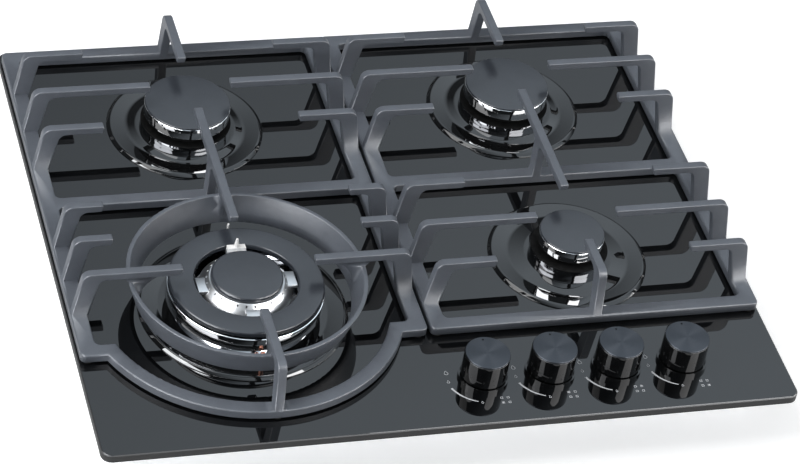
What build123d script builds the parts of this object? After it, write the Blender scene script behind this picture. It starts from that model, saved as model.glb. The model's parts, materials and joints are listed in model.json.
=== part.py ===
from build123d import *
import os

# Built-in gas cooktop: a black glass plate over a steel pan, four burners, two cast pan supports
# and four push-and-turn knobs. Millimetres; +X right, +Y to the rear, +Z up.
# The origin is the middle of the pan's underside.

# Glass plate
plate_length = 590
plate_depth = 510
glass_thickness = 8
plate_corner = 9
plate_bevel = 0.9
hole_clearance = 1.2

# Pan and worktop
pan_depth = 42
sheet = 1.2
rim_width = 15
pan_side_gap = 8
pan_rear_gap = 4
pan_front_slope = 26
pan_corner = 12
flange_width = 5
flange_rear_width = 2
seal_inset = 6
seal_width = 8
seal_thickness = 3
clamp_width = 24
clamp_thickness = 1.5
clamp_reach = 9.5
clamp_height = 24
clamp_bottom = 6
clamp_place = 150

# Burner with two rings of parts: bowl, cup, crown and cap
large_cap = 37.6
large_collar_step = 2.1
small_cap = 28
small_collar_step = 5.5
collar_round = 1
band_lip = 0.3
drum_step = 6.1
crown_wall = 3.5
collar_height = 10
port_height = 8
band_height = 9.7
cap_thickness = 1.5
cap_round = 0.75
spigot_depth = 3
port_width = 2.2
port_count = 24
bowl_radius = 69.2
bowl_rim_width = 2.7
bowl_rim_height = 3.1
bowl_flat_radius = 52
bowl_thickness = 1.3
bowl_gap = 0.5
bowl_bar_gap = 3.7

# Wok burner
wok_bowl_step = 28
wok_base_radius = 60
wok_base_height = 12.5
wok_band_step = 6
wok_band_height = 12.6
wok_band_round = 1
wok_slot_height = 1.5
wok_wall = 2.5
ring_cap_inset = 1
ring_cap_hole_gap = 1.5
ring_cap_thickness = 4.5
ring_cap_round = 1.5
tower_radius = 36
tower_height = 9.3
tower_wall = 10
inner_crown_step = 3.5
inner_crown_lip = 1.5
inner_crown_height = 11
inner_crown_lean = 8
inner_cap_inset = 1.3
inner_cap_thickness = 4.3
inner_ports = 28
inner_port_radius = 0.8
outer_slots = 36
lug_width = 17.5
lug_length = 2.5
lug_thickness = 3.5
lug_height = 4
spike_height = 8.5
spike_block_inset = 1
spike_block_depth = 5
spike_block_height = 3.5

# What stands inside the cups
foot_radius = 28
foot_thickness = 3
pedestal_radius = 16
shoulder_height = 26
flange_thickness = 3
throat_radius = 7.5
throat_wall = 5
throat_start = 18
jet_radius = 5
jet_height = 11
jet_floor = 4
jet_bore = 0.6
jet_tip = 2.5
seat_gap = 0.2
fit_gap = 0.05

# Spark electrodes and thermocouples
ceramic_radius = 2.5
spark_angle = 45
couple_angle = 90
probe_offset = 4.3
wok_probe_offset = 9.5
probe_margin = 4.5
ceramic_below = 6
ceramic_above = 12
spark_tip = 7
spark_radius = 0.9
thermocouple_radius = 2
thermocouple_tip = 15
thermocouple_round = 1.2

# Pan supports
grate_gap = 3
grate_side_gap = 1.5
grate_front_gap = 104.5
grate_rear_gap = 11
rear_burner_gap = 107.5
side_bar = 14
cross_bar = 12.6
middle_bar_shift = 1.85
bar_clearance = 2
bar_height = 7.2
frame_corner = 5
bar_softening = 1.5
arc_side_gap = 10
arc_offset = 3.8
arc_front_gap = 24.5
finger_height = 51.6
finger_width = 7.5
finger_depth = 6.8
finger_lean = 8
finger_softening = 1
foot_rise = 1
shoulder_round = 8
armpit_round = 7
tip_round = 1.5
tip_slant = 1.5
rear_finger_pitch = 50.5
front_finger_pitch = 50.4
wok_finger_pitch = 41.8
long_finger = 110.7
short_finger = 60.3
wok_long_finger = 90.6
wok_short_finger = 40.5
centre_reach = 34
wok_centre_reach = 55.4
wok_ring_gap = 4.4
wok_ring_flare = 8.1
wok_ring_wall = 4
wok_ring_round = 1
wok_ring_bottom = 16
wok_ring_top = 40
web_reach = 15.4
web_flare = 3
web_bite = 2
web_rise = 1
web_lip = 6
web_inset = 0.5
pad_radius = 5

# Controls
knob_side_gap = 88.2
knob_pitch = 58.1
knob_front_gap = 53.5
knob_radius = 19.4
knob_taper = 0.4
knob_gap = 4.3
knob_height = 21.5
face_radius = 18.7
face_thickness = 1.5
face_bevel = 0.375
push_travel = 3
trim_outer = 21.2
trim_wall = 1.2
trim_height = 3.6
trim_floor = 0.8
trim_hole = 12
stem_radius = 3
stem_flat = 2
stem_in_knob = 15
stem_in_plug = 12
stem_end_gap = 1
plug_radius = 6.3
plug_height = 22
plug_groove = 2
plug_end_gap = 0.1
spring_gap = 0.4
spring_wall = 1.2
clip_radius = 4.6
clip_thickness = 1.5
clip_rise = 2
tap_width = 24
tap_front = 10
tap_rear = 15.5
tap_bottom = 8
tap_floor = 4
tap_cover = 1
neck_radius = 9
neck_height = 3
nipple_radius = 5
nipple_length = 5
nipple_rise = 0.5
nipple_socket = 6

# Gas rail, tubes and inlet
rail_size = 16
rail_bottom = 9
rail_bore = 6
rail_overhang = 14
rail_wall = 4
port_bore = 2
tube_radius = 4
tube_wall = 1
tube_bend = 9
tube_lift = 0.4
tube_drop = 12
tube_grip = 6
lane_step = 20
inlet_side_gap = 51
inlet_rear_gap = 49
inlet_thread = 10.48
inlet_bore = 7
inlet_below = 18
inlet_block = 24
inlet_block_height = 16
feed_radius = 6
feed_bend = 12
feed_rise_start = 90
feed_rise_end = 60
recess_height = 22
recess_margin_x = 36
recess_margin_y = 30

# Ignition module and screws
module_length = 80
module_depth = 50
module_height = 26
module_shift_x = 89.5
module_shift_y = 59.5
terminal_radius = 3
terminal_height = 6
screw_radius = 2
screw_head_radius = 3.6
screw_head_height = 2.4
screw_circle = 22

# Heights and places that follow from the sizes
glass_under = pan_depth
glass_face = pan_depth + glass_thickness
plate_half = plate_length / 2
plate_back = plate_depth / 2
pan_half = plate_half - rim_width - pan_side_gap
pan_back = plate_back - rim_width - pan_rear_gap
grate_length = plate_half - grate_gap / 2 - grate_side_gap
grate_front = grate_front_gap - plate_back
grate_rear = plate_back - grate_rear_gap
arc_radius = grate_length / 2 - arc_side_gap

# Wok burner radii, from the middle outwards
inner_crown_radius = tower_radius + inner_crown_step
inner_crown_top = inner_crown_radius - inner_crown_lean
inner_cap_radius = inner_crown_top - inner_cap_inset
lug_reach = inner_crown_radius + lug_length
ring_cap_hole = lug_reach + ring_cap_hole_gap
wok_band_radius = wok_base_radius + wok_band_step
ring_cap_radius = wok_band_radius - ring_cap_inset
wok_bowl_radius = wok_base_radius + wok_bowl_step
wok_ring_bottom_radius = wok_bowl_radius + wok_ring_gap
wok_ring_top_radius = wok_ring_bottom_radius + wok_ring_flare

# Burner and knob places
column_x = (grate_length + grate_gap) / 2
rear_row = grate_rear - rear_burner_gap
front_row = grate_front + cross_bar + bowl_bar_gap + bowl_radius
wok_row = arc_front_gap - plate_back + arc_radius - arc_offset
middle_bar_y = (rear_row + front_row) / 2 + middle_bar_shift
knob_row = knob_front_gap - plate_back
burners = {
    "rear_left": ((-column_x, rear_row), large_cap, large_cap + large_collar_step),
    "rear_right": ((column_x, rear_row), large_cap, large_cap + large_collar_step),
    "front_right": ((column_x, front_row), small_cap, small_cap + small_collar_step),
}
wok_centre = (-column_x, wok_row)
controls = ["wok", "rear_left", "rear_right", "front_right"]
first_knob_x = plate_half - knob_side_gap - (len(controls) - 1) * knob_pitch
knob_x = {name: first_knob_x + i * knob_pitch for i, name in enumerate(controls)}

# Gas ways
tube_low = sheet + foot_thickness + tube_lift + tube_radius
rail_front = knob_row + tap_rear
rail_middle = rail_front + rail_size / 2
rail_axis = rail_bottom + rail_size / 2
nipple_axis = rail_bottom + rail_size + nipple_radius + nipple_rise
tap_top = nipple_axis + nipple_radius + tap_cover
inlet_x = plate_half - inlet_side_gap
inlet_y = plate_back - inlet_rear_gap
module_place = (module_shift_x - column_x, rear_row + module_shift_y)
os.makedirs("parts", exist_ok=True)


def save(piece, name):
    """Label a finished piece and write its file."""
    piece.label = name
    export_step(piece, f"parts/{name}.step")


def upright(centre, heading=(1, 0)):
    """Plane standing on the line through centre: its x runs along heading, its y is the height."""
    dx, dy = heading
    return Plane(origin=(*centre, 0), x_dir=(dx, dy, 0), z_dir=(dy, -dx, 0))


def turn(centre, outline, mode=Mode.ADD):
    """Turn an outline of (radius, height) corners about the upright line through centre."""
    with BuildSketch(upright(centre)) as profile:
        with BuildLine():
            Polyline(*outline, close=True)
        make_face()
    revolve(profile.sketch, axis=Axis((*centre, 0), (0, 0, 1)), mode=mode)


def drill(places, radius, low, high):
    """Upright round holes from the height low to the height high at each (x, y) place."""
    with Locations(*[(x, y, low) for x, y in places]):
        Cylinder(radius, high - low, align=(Align.CENTER, Align.CENTER, Align.MIN), mode=Mode.SUBTRACT)


def pegs(places, radius, low, high):
    """Upright round pegs from the height low to the height high at each (x, y) place."""
    with Locations(*[(x, y, low) for x, y in places]):
        Cylinder(radius, high - low, align=(Align.CENTER, Align.CENTER, Align.MIN))


def around(centre, radius, angle):
    """The point at this radius and angle, in degrees, from the centre."""
    offset = Vector(radius, 0).rotate(Axis.Z, angle)
    return (centre[0] + offset.X, centre[1] + offset.Y)


def probe_ring(collar):
    """Radius on which a burner's electrode and thermocouple stand."""
    return collar + probe_offset


def screw_places(centre):
    return [around(centre, screw_circle, angle) for angle in (90, 270)]


wok_probe_ring = wok_base_radius + wok_probe_offset
spark_places = [around(centre, probe_ring(collar), spark_angle) for centre, cap, collar in burners.values()]
couple_places = [around(centre, probe_ring(collar), couple_angle) for centre, cap, collar in burners.values()]
wok_spark_place = around(wok_centre, wok_probe_ring, 90)
wok_couple_place = around(wok_centre, wok_probe_ring, 270)
burner_centres = [centre for centre, cap, collar in burners.values()] + [wok_centre]
foot_screws = [place for centre in burner_centres for place in screw_places(centre)]
knob_centres = [(x, knob_row) for x in knob_x.values()]


# Glass plate with its burner and stem holes
with BuildPart() as glass_top:
    with BuildSketch(Plane.XY.offset(glass_under)):
        RectangleRounded(plate_length, plate_depth, plate_corner)
    extrude(amount=glass_thickness)
    chamfer(glass_top.edges().group_by(Axis.Z)[-1], plate_bevel)
    chamfer(glass_top.edges().group_by(Axis.Z)[0], plate_bevel)
    for centre, cap, collar in burners.values():
        hole = probe_ring(collar) + ceramic_radius + hole_clearance
        drill([centre], hole, glass_under, glass_face)
    wok_hole = wok_probe_ring + ceramic_radius + hole_clearance
    drill([wok_centre], wok_hole, glass_under, glass_face)
    drill(knob_centres, clip_radius + hole_clearance, glass_under, glass_face)
save(glass_top.part, "glass_top")

with BuildPart() as worktop_seal:
    with BuildSketch(Plane.XY.offset(glass_under - seal_thickness)):
        seal_length = plate_length - 2 * seal_inset
        seal_depth = plate_depth - 2 * seal_inset
        RectangleRounded(seal_length, seal_depth, plate_corner)
        Rectangle(seal_length - 2 * seal_width, seal_depth - 2 * seal_width, mode=Mode.SUBTRACT)
    extrude(amount=seal_thickness)
save(worktop_seal.part, "worktop_seal")


def pan_block(inset):
    """Outer form of the pan, with its gas recess, drawn in by inset on every side but the top."""
    slope = inset * pan_front_slope / pan_depth
    with BuildPart() as block:
        with BuildSketch(Plane.YZ.offset(inset - pan_half)):
            with BuildLine():
                Polyline(
                    (pan_front_slope - pan_back + inset - slope, inset),
                    (pan_back - inset, inset),
                    (pan_back - inset, pan_depth),
                    (inset - pan_back, pan_depth),
                    close=True,
                )
            make_face()
        extrude(amount=2 * (pan_half - inset))
        front_corners = block.edges().filter_by(lambda edge: edge.bounding_box().size.Z > pan_depth / 2)
        fillet(front_corners, pan_corner - inset)
        with Locations((inlet_x - recess_margin_x - inset, inlet_y - recess_margin_y - inset, 0)):
            Box(
                pan_half,
                pan_back,
                recess_height + inset,
                align=(Align.MIN, Align.MIN, Align.MIN),
                mode=Mode.SUBTRACT,
            )
    return block.part


pan_outside = pan_block(0)
pan_inside = pan_block(sheet)
with BuildPart() as base_pan:
    add(pan_outside)
    with BuildSketch(Plane.XY.offset(pan_depth - sheet)):
        RectangleRounded(2 * (pan_half + flange_width), 2 * (pan_back + flange_rear_width), pan_corner)
    extrude(amount=sheet)
    add(pan_inside, mode=Mode.SUBTRACT)
    drill([(inlet_x, inlet_y)], inlet_thread + hole_clearance, 0, pan_depth)
    drill(foot_screws, screw_radius + fit_gap, 0, 2 * sheet)
    for side in (-1, 1):
        for place in (-clamp_place, clamp_place):
            with Locations((side * pan_half, place, clamp_bottom + clamp_height / 2)):
                Cylinder(screw_radius + fit_gap, 4 * sheet, rotation=(0, 90, 0), mode=Mode.SUBTRACT)
save(base_pan.part, "base_pan")

with BuildPart() as worktop_clamps:
    for side in (-1, 1):
        for place in (-clamp_place, clamp_place):
            with Locations((side * (pan_half + clamp_thickness / 2), place, clamp_bottom)):
                Box(clamp_thickness, clamp_width, clamp_height, align=(Align.CENTER, Align.CENTER, Align.MIN))
            with Locations((side * (pan_half + clamp_reach / 2), place, clamp_bottom)):
                Box(clamp_reach, clamp_width, clamp_thickness, align=(Align.CENTER, Align.CENTER, Align.MIN))
            with Locations((side * pan_half, place, clamp_bottom + clamp_height / 2)):
                Cylinder(screw_radius + fit_gap, 4 * sheet, rotation=(0, 90, 0), mode=Mode.SUBTRACT)
save(worktop_clamps.part, "worktop_clamps")

with BuildPart() as fixing_screws:
    pegs(foot_screws, screw_radius, 0, sheet + foot_thickness)
    head_low = sheet + foot_thickness
    pegs(foot_screws, screw_head_radius, head_low, head_low + screw_head_height)
    for side in (-1, 1):
        for place in (-clamp_place, clamp_place):
            head = side * (pan_half + clamp_thickness)
            with Locations((head - side * screw_radius, place, clamp_bottom + clamp_height / 2)):
                Cylinder(screw_radius, 2 * screw_radius, rotation=(0, 90, 0))
            with Locations((head + side * screw_head_height / 2, place, clamp_bottom + clamp_height / 2)):
                Cylinder(screw_head_radius, screw_head_height, rotation=(0, 90, 0))
save(fixing_screws.part, "fixing_screws")


# Burners
def cup_foot(flange):
    """Lower outline of a burner cup, from its axis out to the flange that carries the electrodes."""
    return [
        (0, sheet),
        (foot_radius, sheet),
        (foot_radius, sheet + foot_thickness),
        (pedestal_radius, sheet + foot_thickness),
        (pedestal_radius, shoulder_height),
        (flange, shoulder_height),
        (flange, shoulder_height + flange_thickness),
    ]


def throat(mouth, top):
    """Bore of a burner cup, from its mouth at the top down to the pocket of the jet."""
    pocket = jet_radius + fit_gap
    jet_seat = sheet + jet_floor
    return [
        (mouth, top),
        (throat_radius, throat_start),
        (throat_radius, jet_seat + jet_radius),
        (pocket, jet_seat + jet_radius),
        (pocket, jet_seat),
        (0, jet_seat),
    ]


def gas_port(centre, side):
    """Side bore that takes the tube's end, and the passage on to the jet."""
    x, y = centre
    with Locations((x + side * pedestal_radius, y, tube_low)):
        Cylinder(tube_radius + fit_gap, 2 * tube_grip, rotation=(0, 90, 0), mode=Mode.SUBTRACT)
    with Locations((x + side * pedestal_radius / 2, y, tube_low)):
        Cylinder(port_bore, pedestal_radius, rotation=(0, 90, 0), mode=Mode.SUBTRACT)


def make_cup(centre, collar, side):
    """Burner body: foot on the pan, flange under the glass and a collar that stands in the bowl."""
    top = glass_face + collar_height
    drum_inside = collar - throat_wall - drum_step
    with BuildPart() as cup:
        outline = cup_foot(probe_ring(collar) + probe_margin)
        outline += [(collar, shoulder_height + flange_thickness), (collar, top)]
        turn(centre, outline + throat(drum_inside, top))
        drill(screw_places(centre), screw_radius + fit_gap, 0, sheet + foot_thickness)
        for angle, radius in ((spark_angle, ceramic_radius), (couple_angle, thermocouple_radius)):
            place = around(centre, probe_ring(collar), angle)
            drill([place], radius + fit_gap, shoulder_height, shoulder_height + flange_thickness)
        gas_port(centre, side)
        fillet(cup.edges().filter_by(GeomType.CIRCLE).group_by(Axis.Z)[-1].sort_by(SortBy.RADIUS)[-1], collar_round)
    return cup.part


def make_bowl(centre, radius, inner, probes):
    """Drip bowl: a shallow dish with a raised rim, open in the middle for the burner."""
    flat = bowl_flat_radius + radius - bowl_radius
    rim = radius - bowl_rim_width
    low = glass_face
    with BuildPart() as bowl:
        with BuildSketch(upright(centre)) as profile:
            with BuildLine():
                Polyline(
                    (flat, low + bowl_thickness),
                    (inner, low + bowl_thickness),
                    (inner, low),
                    (radius, low),
                    (radius, low + bowl_thickness),
                )
                lip = TangentArc((radius, low + bowl_thickness), (rim, low + bowl_rim_height), tangent=(0, 1))
                Spline(
                    lip @ 1,
                    (flat, low + bowl_thickness),
                    tangents=(Vector(-1, -0.1), Vector(-1, 0)),
                )
            make_face()
        revolve(profile.sketch, axis=Axis((*centre, 0), (0, 0, 1)))
        for place, reach in probes:
            drill([place], reach + hole_clearance / 2, low, low + bowl_rim_height)
    return bowl.part


def make_crown(centre, cap, collar):
    """Flame spreader: a slotted drum under a polished band, open at the top for the cap's spigot."""
    low = glass_face + collar_height
    neck = low + port_height
    high = neck + band_height
    drum = cap - drum_step
    with BuildPart() as crown:
        band = cap + band_lip
        turn(centre, [(drum - crown_wall, low), (drum, low), (drum, neck), (band, neck),
                      (band, high), (drum - crown_wall, high)])
        with Locations((*centre, low + port_height / 2)):
            with PolarLocations(drum - crown_wall / 2, port_count):
                Box(2 * crown_wall, port_width, port_height / 2, mode=Mode.SUBTRACT)
        rims = crown.edges().filter_by(GeomType.CIRCLE).filter_by(lambda edge: edge.radius > cap)
        fillet(rims, band_lip)
    return crown.part


def make_cap(centre, cap):
    """Enamelled lid with a spigot that drops into the crown."""
    seat = glass_face + collar_height + port_height + band_height + seat_gap
    with BuildPart() as lid:
        pegs([centre], cap, seat, seat + cap_thickness)
        fillet(lid.edges().group_by(Axis.Z)[-1], cap_round)
        pegs([centre], cap - drum_step - crown_wall - seat_gap, seat - spigot_depth, seat)
    return lid.part


for name, (centre, cap, collar) in burners.items():
    side = -1 if centre[0] > 0 and centre[1] > 0 else 1
    ring = probe_ring(collar)
    probes = [
        (around(centre, ring, spark_angle), ceramic_radius),
        (around(centre, ring, couple_angle), thermocouple_radius),
    ]
    save(make_bowl(centre, bowl_radius, collar + bowl_gap, probes), f"{name}_bowl")
    save(make_cup(centre, collar, side), f"{name}_cup")
    save(make_crown(centre, cap, collar), f"{name}_crown")
    save(make_cap(centre, cap), f"{name}_cap")

# Wok burner: an outer ring of flame and an inner one on a tower
wok_probes = [(wok_spark_place, ceramic_radius), (wok_couple_place, thermocouple_radius)]
save(make_bowl(wok_centre, wok_bowl_radius, wok_base_radius + bowl_gap, wok_probes), "wok_bowl")
wok_top = glass_face + wok_base_height
tower_top = wok_top + tower_height
tower_bore = tower_radius - tower_wall

with BuildPart() as wok_cup:
    body = cup_foot(wok_probe_ring + probe_margin)
    body += [
        (wok_base_radius, shoulder_height + flange_thickness),
        (wok_base_radius, wok_top),
        (tower_radius, wok_top),
        (tower_radius, tower_top),
    ]
    turn(wok_centre, body + throat(tower_bore, tower_top))
    drill(screw_places(wok_centre), screw_radius + fit_gap, 0, sheet + foot_thickness)
    for place, radius in wok_probes:
        drill([place], radius + fit_gap, shoulder_height, shoulder_height + flange_thickness)
    gas_port(wok_centre, 1)
save(wok_cup.part, "wok_cup")

with BuildPart() as wok_outer_crown:
    low = wok_top + seat_gap
    high = low + wok_band_height
    turn(
        wok_centre,
        [
            (ring_cap_hole + band_lip, low),
            (wok_band_radius, low),
            (wok_band_radius, high),
            (wok_base_radius + wok_wall, high),
            (wok_base_radius + wok_wall, high + wok_slot_height),
            (wok_base_radius, high + wok_slot_height),
            (wok_base_radius, low + wok_wall),
            (ring_cap_hole + wok_wall, low + wok_wall),
            (ring_cap_hole + wok_wall, high + wok_slot_height),
            (ring_cap_hole + band_lip, high + wok_slot_height),
        ],
    )
    with Locations((*wok_centre, high + wok_slot_height / 2)):
        with PolarLocations(wok_base_radius + wok_wall / 2, outer_slots):
            Box(2 * wok_wall, port_width, wok_slot_height, mode=Mode.SUBTRACT)
    rims = wok_outer_crown.edges().filter_by(lambda edge: edge.geom_type == GeomType.CIRCLE)
    fillet(rims.filter_by(lambda edge: edge.radius > wok_band_radius - band_lip), wok_band_round)
save(wok_outer_crown.part, "wok_outer_crown")

with BuildPart() as wok_ring_cap:
    seat = wok_top + 2 * seat_gap + wok_band_height + wok_slot_height
    turn(
        wok_centre,
        [
            (ring_cap_hole, seat),
            (ring_cap_radius, seat),
            (ring_cap_radius, seat + ring_cap_thickness),
            (ring_cap_hole, seat + ring_cap_thickness),
        ],
    )
    fillet(wok_ring_cap.edges().filter_by(GeomType.CIRCLE), ring_cap_round)
save(wok_ring_cap.part, "wok_ring_cap")

crown_seat = tower_top + seat_gap
lug_low = crown_seat + lug_height
lug_high = lug_low + lug_thickness
with BuildPart() as wok_inner_crown:
    turn(
        wok_centre,
        [
            (tower_bore, crown_seat),
            (inner_crown_radius, crown_seat),
            (inner_crown_radius, crown_seat + inner_crown_lip),
            (inner_crown_top, crown_seat + inner_crown_height),
            (inner_crown_top - crown_wall, crown_seat + inner_crown_height),
            (inner_crown_top - crown_wall, crown_seat + 2 * inner_crown_lip),
            (tower_bore, crown_seat + 2 * inner_crown_lip),
        ],
    )
    with Locations((*wok_centre, lug_high + 2 * inner_port_radius)):
        with PolarLocations((inner_crown_radius + inner_crown_top) / 2, inner_ports):
            Cylinder(inner_port_radius, 4 * crown_wall, rotation=(0, 90, 0), mode=Mode.SUBTRACT)
    with Locations((*wok_centre, (lug_low + lug_high) / 2)):
        with PolarLocations((lug_reach + inner_crown_top) / 2, 4):
            Box(lug_reach - inner_crown_top, lug_width, lug_thickness)
save(wok_inner_crown.part, "wok_inner_crown")

with BuildPart() as wok_inner_cap:
    seat = crown_seat + inner_crown_height + seat_gap
    pegs([wok_centre], inner_cap_radius, seat, seat + inner_cap_thickness)
    fillet(wok_inner_cap.edges().group_by(Axis.Z)[-1], ring_cap_round)
    fillet(wok_inner_cap.edges().group_by(Axis.Z)[0], band_lip)
    pegs([wok_centre], inner_crown_top - crown_wall - seat_gap, seat - spigot_depth, seat)
save(wok_inner_cap.part, "wok_inner_cap")

with BuildPart() as wok_inner_electrode:
    spike_x, spike_y = around(wok_centre, inner_crown_radius, 90)
    with Locations((spike_x, spike_y, lug_high)):
        Box(
            lug_width - 2 * spike_block_inset,
            spike_block_depth,
            spike_block_height,
            align=(Align.CENTER, Align.CENTER, Align.MIN),
        )
    with Locations((spike_x, spike_y, lug_high + spike_block_height)):
        Cone(ceramic_radius, spark_radius, spike_height, align=(Align.CENTER, Align.CENTER, Align.MIN))
save(wok_inner_electrode.part, "wok_inner_electrode")

with BuildPart() as injectors:
    for centre in burner_centres:
        seat = sheet + jet_floor
        turn(
            centre,
            [
                (jet_bore, seat),
                (jet_radius, seat),
                (jet_radius, seat + jet_height - jet_tip),
                (jet_tip, seat + jet_height),
                (jet_bore, seat + jet_height),
            ],
        )
save(injectors.part, "injectors")

probe_low = shoulder_height - ceramic_below
with BuildPart() as spark_electrodes:
    for place in spark_places + [wok_spark_place]:
        rise = spark_tip if place != wok_spark_place else spark_tip + wok_base_height
        pegs([place], ceramic_radius, probe_low, glass_face + ceramic_above)
        pegs([place], spark_radius, glass_face + ceramic_above, glass_face + ceramic_above + rise)
save(spark_electrodes.part, "spark_electrodes")

with BuildPart() as thermocouples:
    pegs(couple_places + [wok_couple_place], thermocouple_radius, probe_low, glass_face + thermocouple_tip)
    tips = thermocouples.edges().group_by(Axis.Z)[-1]
    fillet(tips, thermocouple_round)
save(thermocouples.part, "thermocouples")


# Pan supports
bar_low = glass_face + bar_clearance
bar_high = bar_low + bar_height
arm_top = glass_face + finger_height
arm_low = arm_top - finger_depth
foot = bar_low + foot_rise


def casting(plane, corners, radii):
    """Cast plate of the fingers' width, from its side outline, with all but its foot edges softened."""
    with BuildPart() as plate:
        with BuildSketch(plane):
            with BuildLine():
                FilletPolyline(*corners, radius=radii, close=True)
            make_face()
        extrude(amount=finger_width / 2, both=True)
        flanks = plate.faces().filter_by(lambda face: abs(face.normal_at().dot(plane.z_dir)) > 0.99)
        edges = flanks.edges().filter_by(lambda edge: edge.center().Z > foot + foot_rise / 2)
        fillet(edges, finger_softening)
    return plate.part


def make_finger(root, heading, reach, depth):
    """Finger: a riser that leans in from the frame, a rounded shoulder and a level arm to its tip."""
    corners = [
        (0, foot),
        (finger_lean, arm_top),
        (reach, arm_top),
        (reach - tip_slant, arm_low),
        (finger_lean + depth, arm_low),
        (depth, foot),
    ]
    return casting(upright(root, heading), corners, [0, shoulder_round, tip_round, tip_round, armpit_round, 0])


def make_tee(centre_x, front_tip, rear_tip):
    """Middle finger: a straight post on the middle bar with an arm to the front and one to the rear."""
    half = cross_bar / 2
    front = front_tip - middle_bar_y
    rear = rear_tip - middle_bar_y
    corners = [
        (front, arm_top),
        (rear, arm_top),
        (rear - tip_slant, arm_low),
        (half, arm_low),
        (half, foot),
        (-half, foot),
        (-half, arm_low),
        (front + tip_slant, arm_low),
    ]
    radii = [tip_round, tip_round, tip_round, armpit_round, 0, 0, armpit_round, tip_round]
    return casting(upright((centre_x, middle_bar_y), (0, 1)), corners, radii)


def make_web(heading):
    """Web that hangs from a finger and crosses the wok ring."""
    low = glass_face + wok_ring_bottom + web_rise
    rim = glass_face + wok_ring_top
    half = wok_ring_wall / 2
    inside = wok_ring_bottom_radius - half
    tip = wok_ring_bottom_radius - web_reach
    corners = [
        (tip, arm_low + web_bite),
        (tip, arm_low),
        (inside, low + web_lip),
        (inside, low),
        (inside + half, low),
        (wok_ring_top_radius - half / 2, rim),
        (wok_ring_top_radius + web_flare, arm_low),
        (wok_ring_top_radius + web_flare, arm_low + web_bite),
    ]
    with BuildPart() as web:
        with BuildSketch(upright(wok_centre, heading)):
            with BuildLine():
                Polyline(corners[0], corners[1])
                Spline(corners[1], corners[2], tangents=(Vector(1, -0.6), Vector(0.1, -1)))
                Polyline(*corners[2:], corners[0])
            make_face()
        extrude(amount=finger_width / 2 - web_inset, both=True)
    return web.part


def side_fingers(centre_x, rows):
    """Fingers on both side bars: rows holds (y, length of the finger from the side of the frame)."""
    fingers = []
    for y, length in rows:
        for side in (-1, 1):
            fingers.append(make_finger((centre_x + side * grate_length / 2, y), (-side, 0), length, side_bar))
    return fingers


def finger_rows(row, pitch):
    """Three fingers a side: a long one at the burner's centre between two short ones."""
    return [(row - pitch, short_finger), (row, long_finger), (row + pitch, short_finger)]


def make_frame(centre_x, with_arc):
    """Flat frame of bars round the two burners, with a bowed front bar where the wok ring stands."""
    rear_low = middle_bar_y + cross_bar / 2
    front_high = middle_bar_y - cross_bar / 2
    front_low = grate_front + cross_bar
    rear_high = grate_rear - cross_bar
    arc_centre = (centre_x, wok_row + arc_offset)
    cell = grate_length - 2 * side_bar
    with BuildPart() as frame:
        with BuildSketch(Plane.XY.offset(bar_low)):
            with Locations((centre_x, (grate_front + grate_rear) / 2)):
                RectangleRounded(grate_length, grate_rear - grate_front, frame_corner)
            if with_arc:
                with Locations(arc_centre):
                    Circle(arc_radius)
            with Locations((centre_x, (rear_low + rear_high) / 2)):
                RectangleRounded(cell, rear_high - rear_low, frame_corner, mode=Mode.SUBTRACT)
            with Locations((centre_x, (front_low + front_high) / 2)):
                RectangleRounded(cell, front_high - front_low, frame_corner, mode=Mode.SUBTRACT)
            if with_arc:
                with Locations(arc_centre):
                    Circle(arc_radius - cross_bar, mode=Mode.SUBTRACT)
        extrude(amount=bar_height)
        fillet(frame.edges().group_by(Axis.Z)[-1], bar_softening)
    return frame.part


def make_pads(centre_x, extra):
    """Rubber pads between the frame and the glass."""
    side = (grate_length - side_bar) / 2
    rows = (grate_rear - cross_bar / 2, middle_bar_y, grate_front + cross_bar / 2)
    places = [(centre_x + sign * side, y) for y in rows for sign in (-1, 1)] + extra
    with BuildPart() as pads:
        pegs(places, pad_radius, glass_face, bar_low)
    return pads.part


rear_tip = rear_row + centre_reach
middle_rear_tip = rear_row - centre_reach
rear_rows = finger_rows(rear_row, rear_finger_pitch)

right_castings = side_fingers(column_x, rear_rows)
right_castings += side_fingers(column_x, finger_rows(front_row, front_finger_pitch))
right_castings += [
    make_finger((column_x, grate_rear), (0, -1), grate_rear - rear_tip, cross_bar),
    make_finger((column_x, grate_front), (0, 1), front_row - centre_reach - grate_front, cross_bar),
    make_tee(column_x, front_row + centre_reach, middle_rear_tip),
]
right_frame = make_frame(column_x, False)
with BuildPart() as right_grate:
    add(right_frame)
    add(right_castings)
save(right_grate.part, "right_grate")
save(make_pads(column_x, []), "right_grate_pads")

arc_front = wok_row + arc_offset - arc_radius
wok_rows = [
    (wok_row, wok_long_finger),
    (wok_row + wok_finger_pitch, wok_short_finger),
    (wok_row + 2 * wok_finger_pitch, wok_short_finger),
]
left_castings = side_fingers(-column_x, rear_rows) + side_fingers(-column_x, wok_rows)
left_castings += [
    make_finger((-column_x, grate_rear), (0, -1), grate_rear - rear_tip, cross_bar),
    make_finger((-column_x, arc_front), (0, 1), wok_row - wok_centre_reach - arc_front, cross_bar),
    make_tee(-column_x, wok_row + wok_centre_reach, middle_rear_tip),
]
left_castings += [make_web(heading) for heading in ((1, 0), (0, 1), (-1, 0), (0, -1))]
left_frame = make_frame(-column_x, True)
with BuildPart() as wok_ring:
    low = glass_face + wok_ring_bottom
    high = glass_face + wok_ring_top
    turn(
        wok_centre,
        [
            (wok_ring_bottom_radius - wok_ring_wall, low),
            (wok_ring_bottom_radius, low),
            (wok_ring_top_radius, high),
            (wok_ring_top_radius - wok_ring_wall, high),
        ],
    )
    fillet(wok_ring.edges().filter_by(GeomType.CIRCLE), wok_ring_round)
with BuildPart() as left_grate:
    add(left_frame)
    add(left_castings)
    add(wok_ring.part)
save(left_grate.part, "left_grate")
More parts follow.
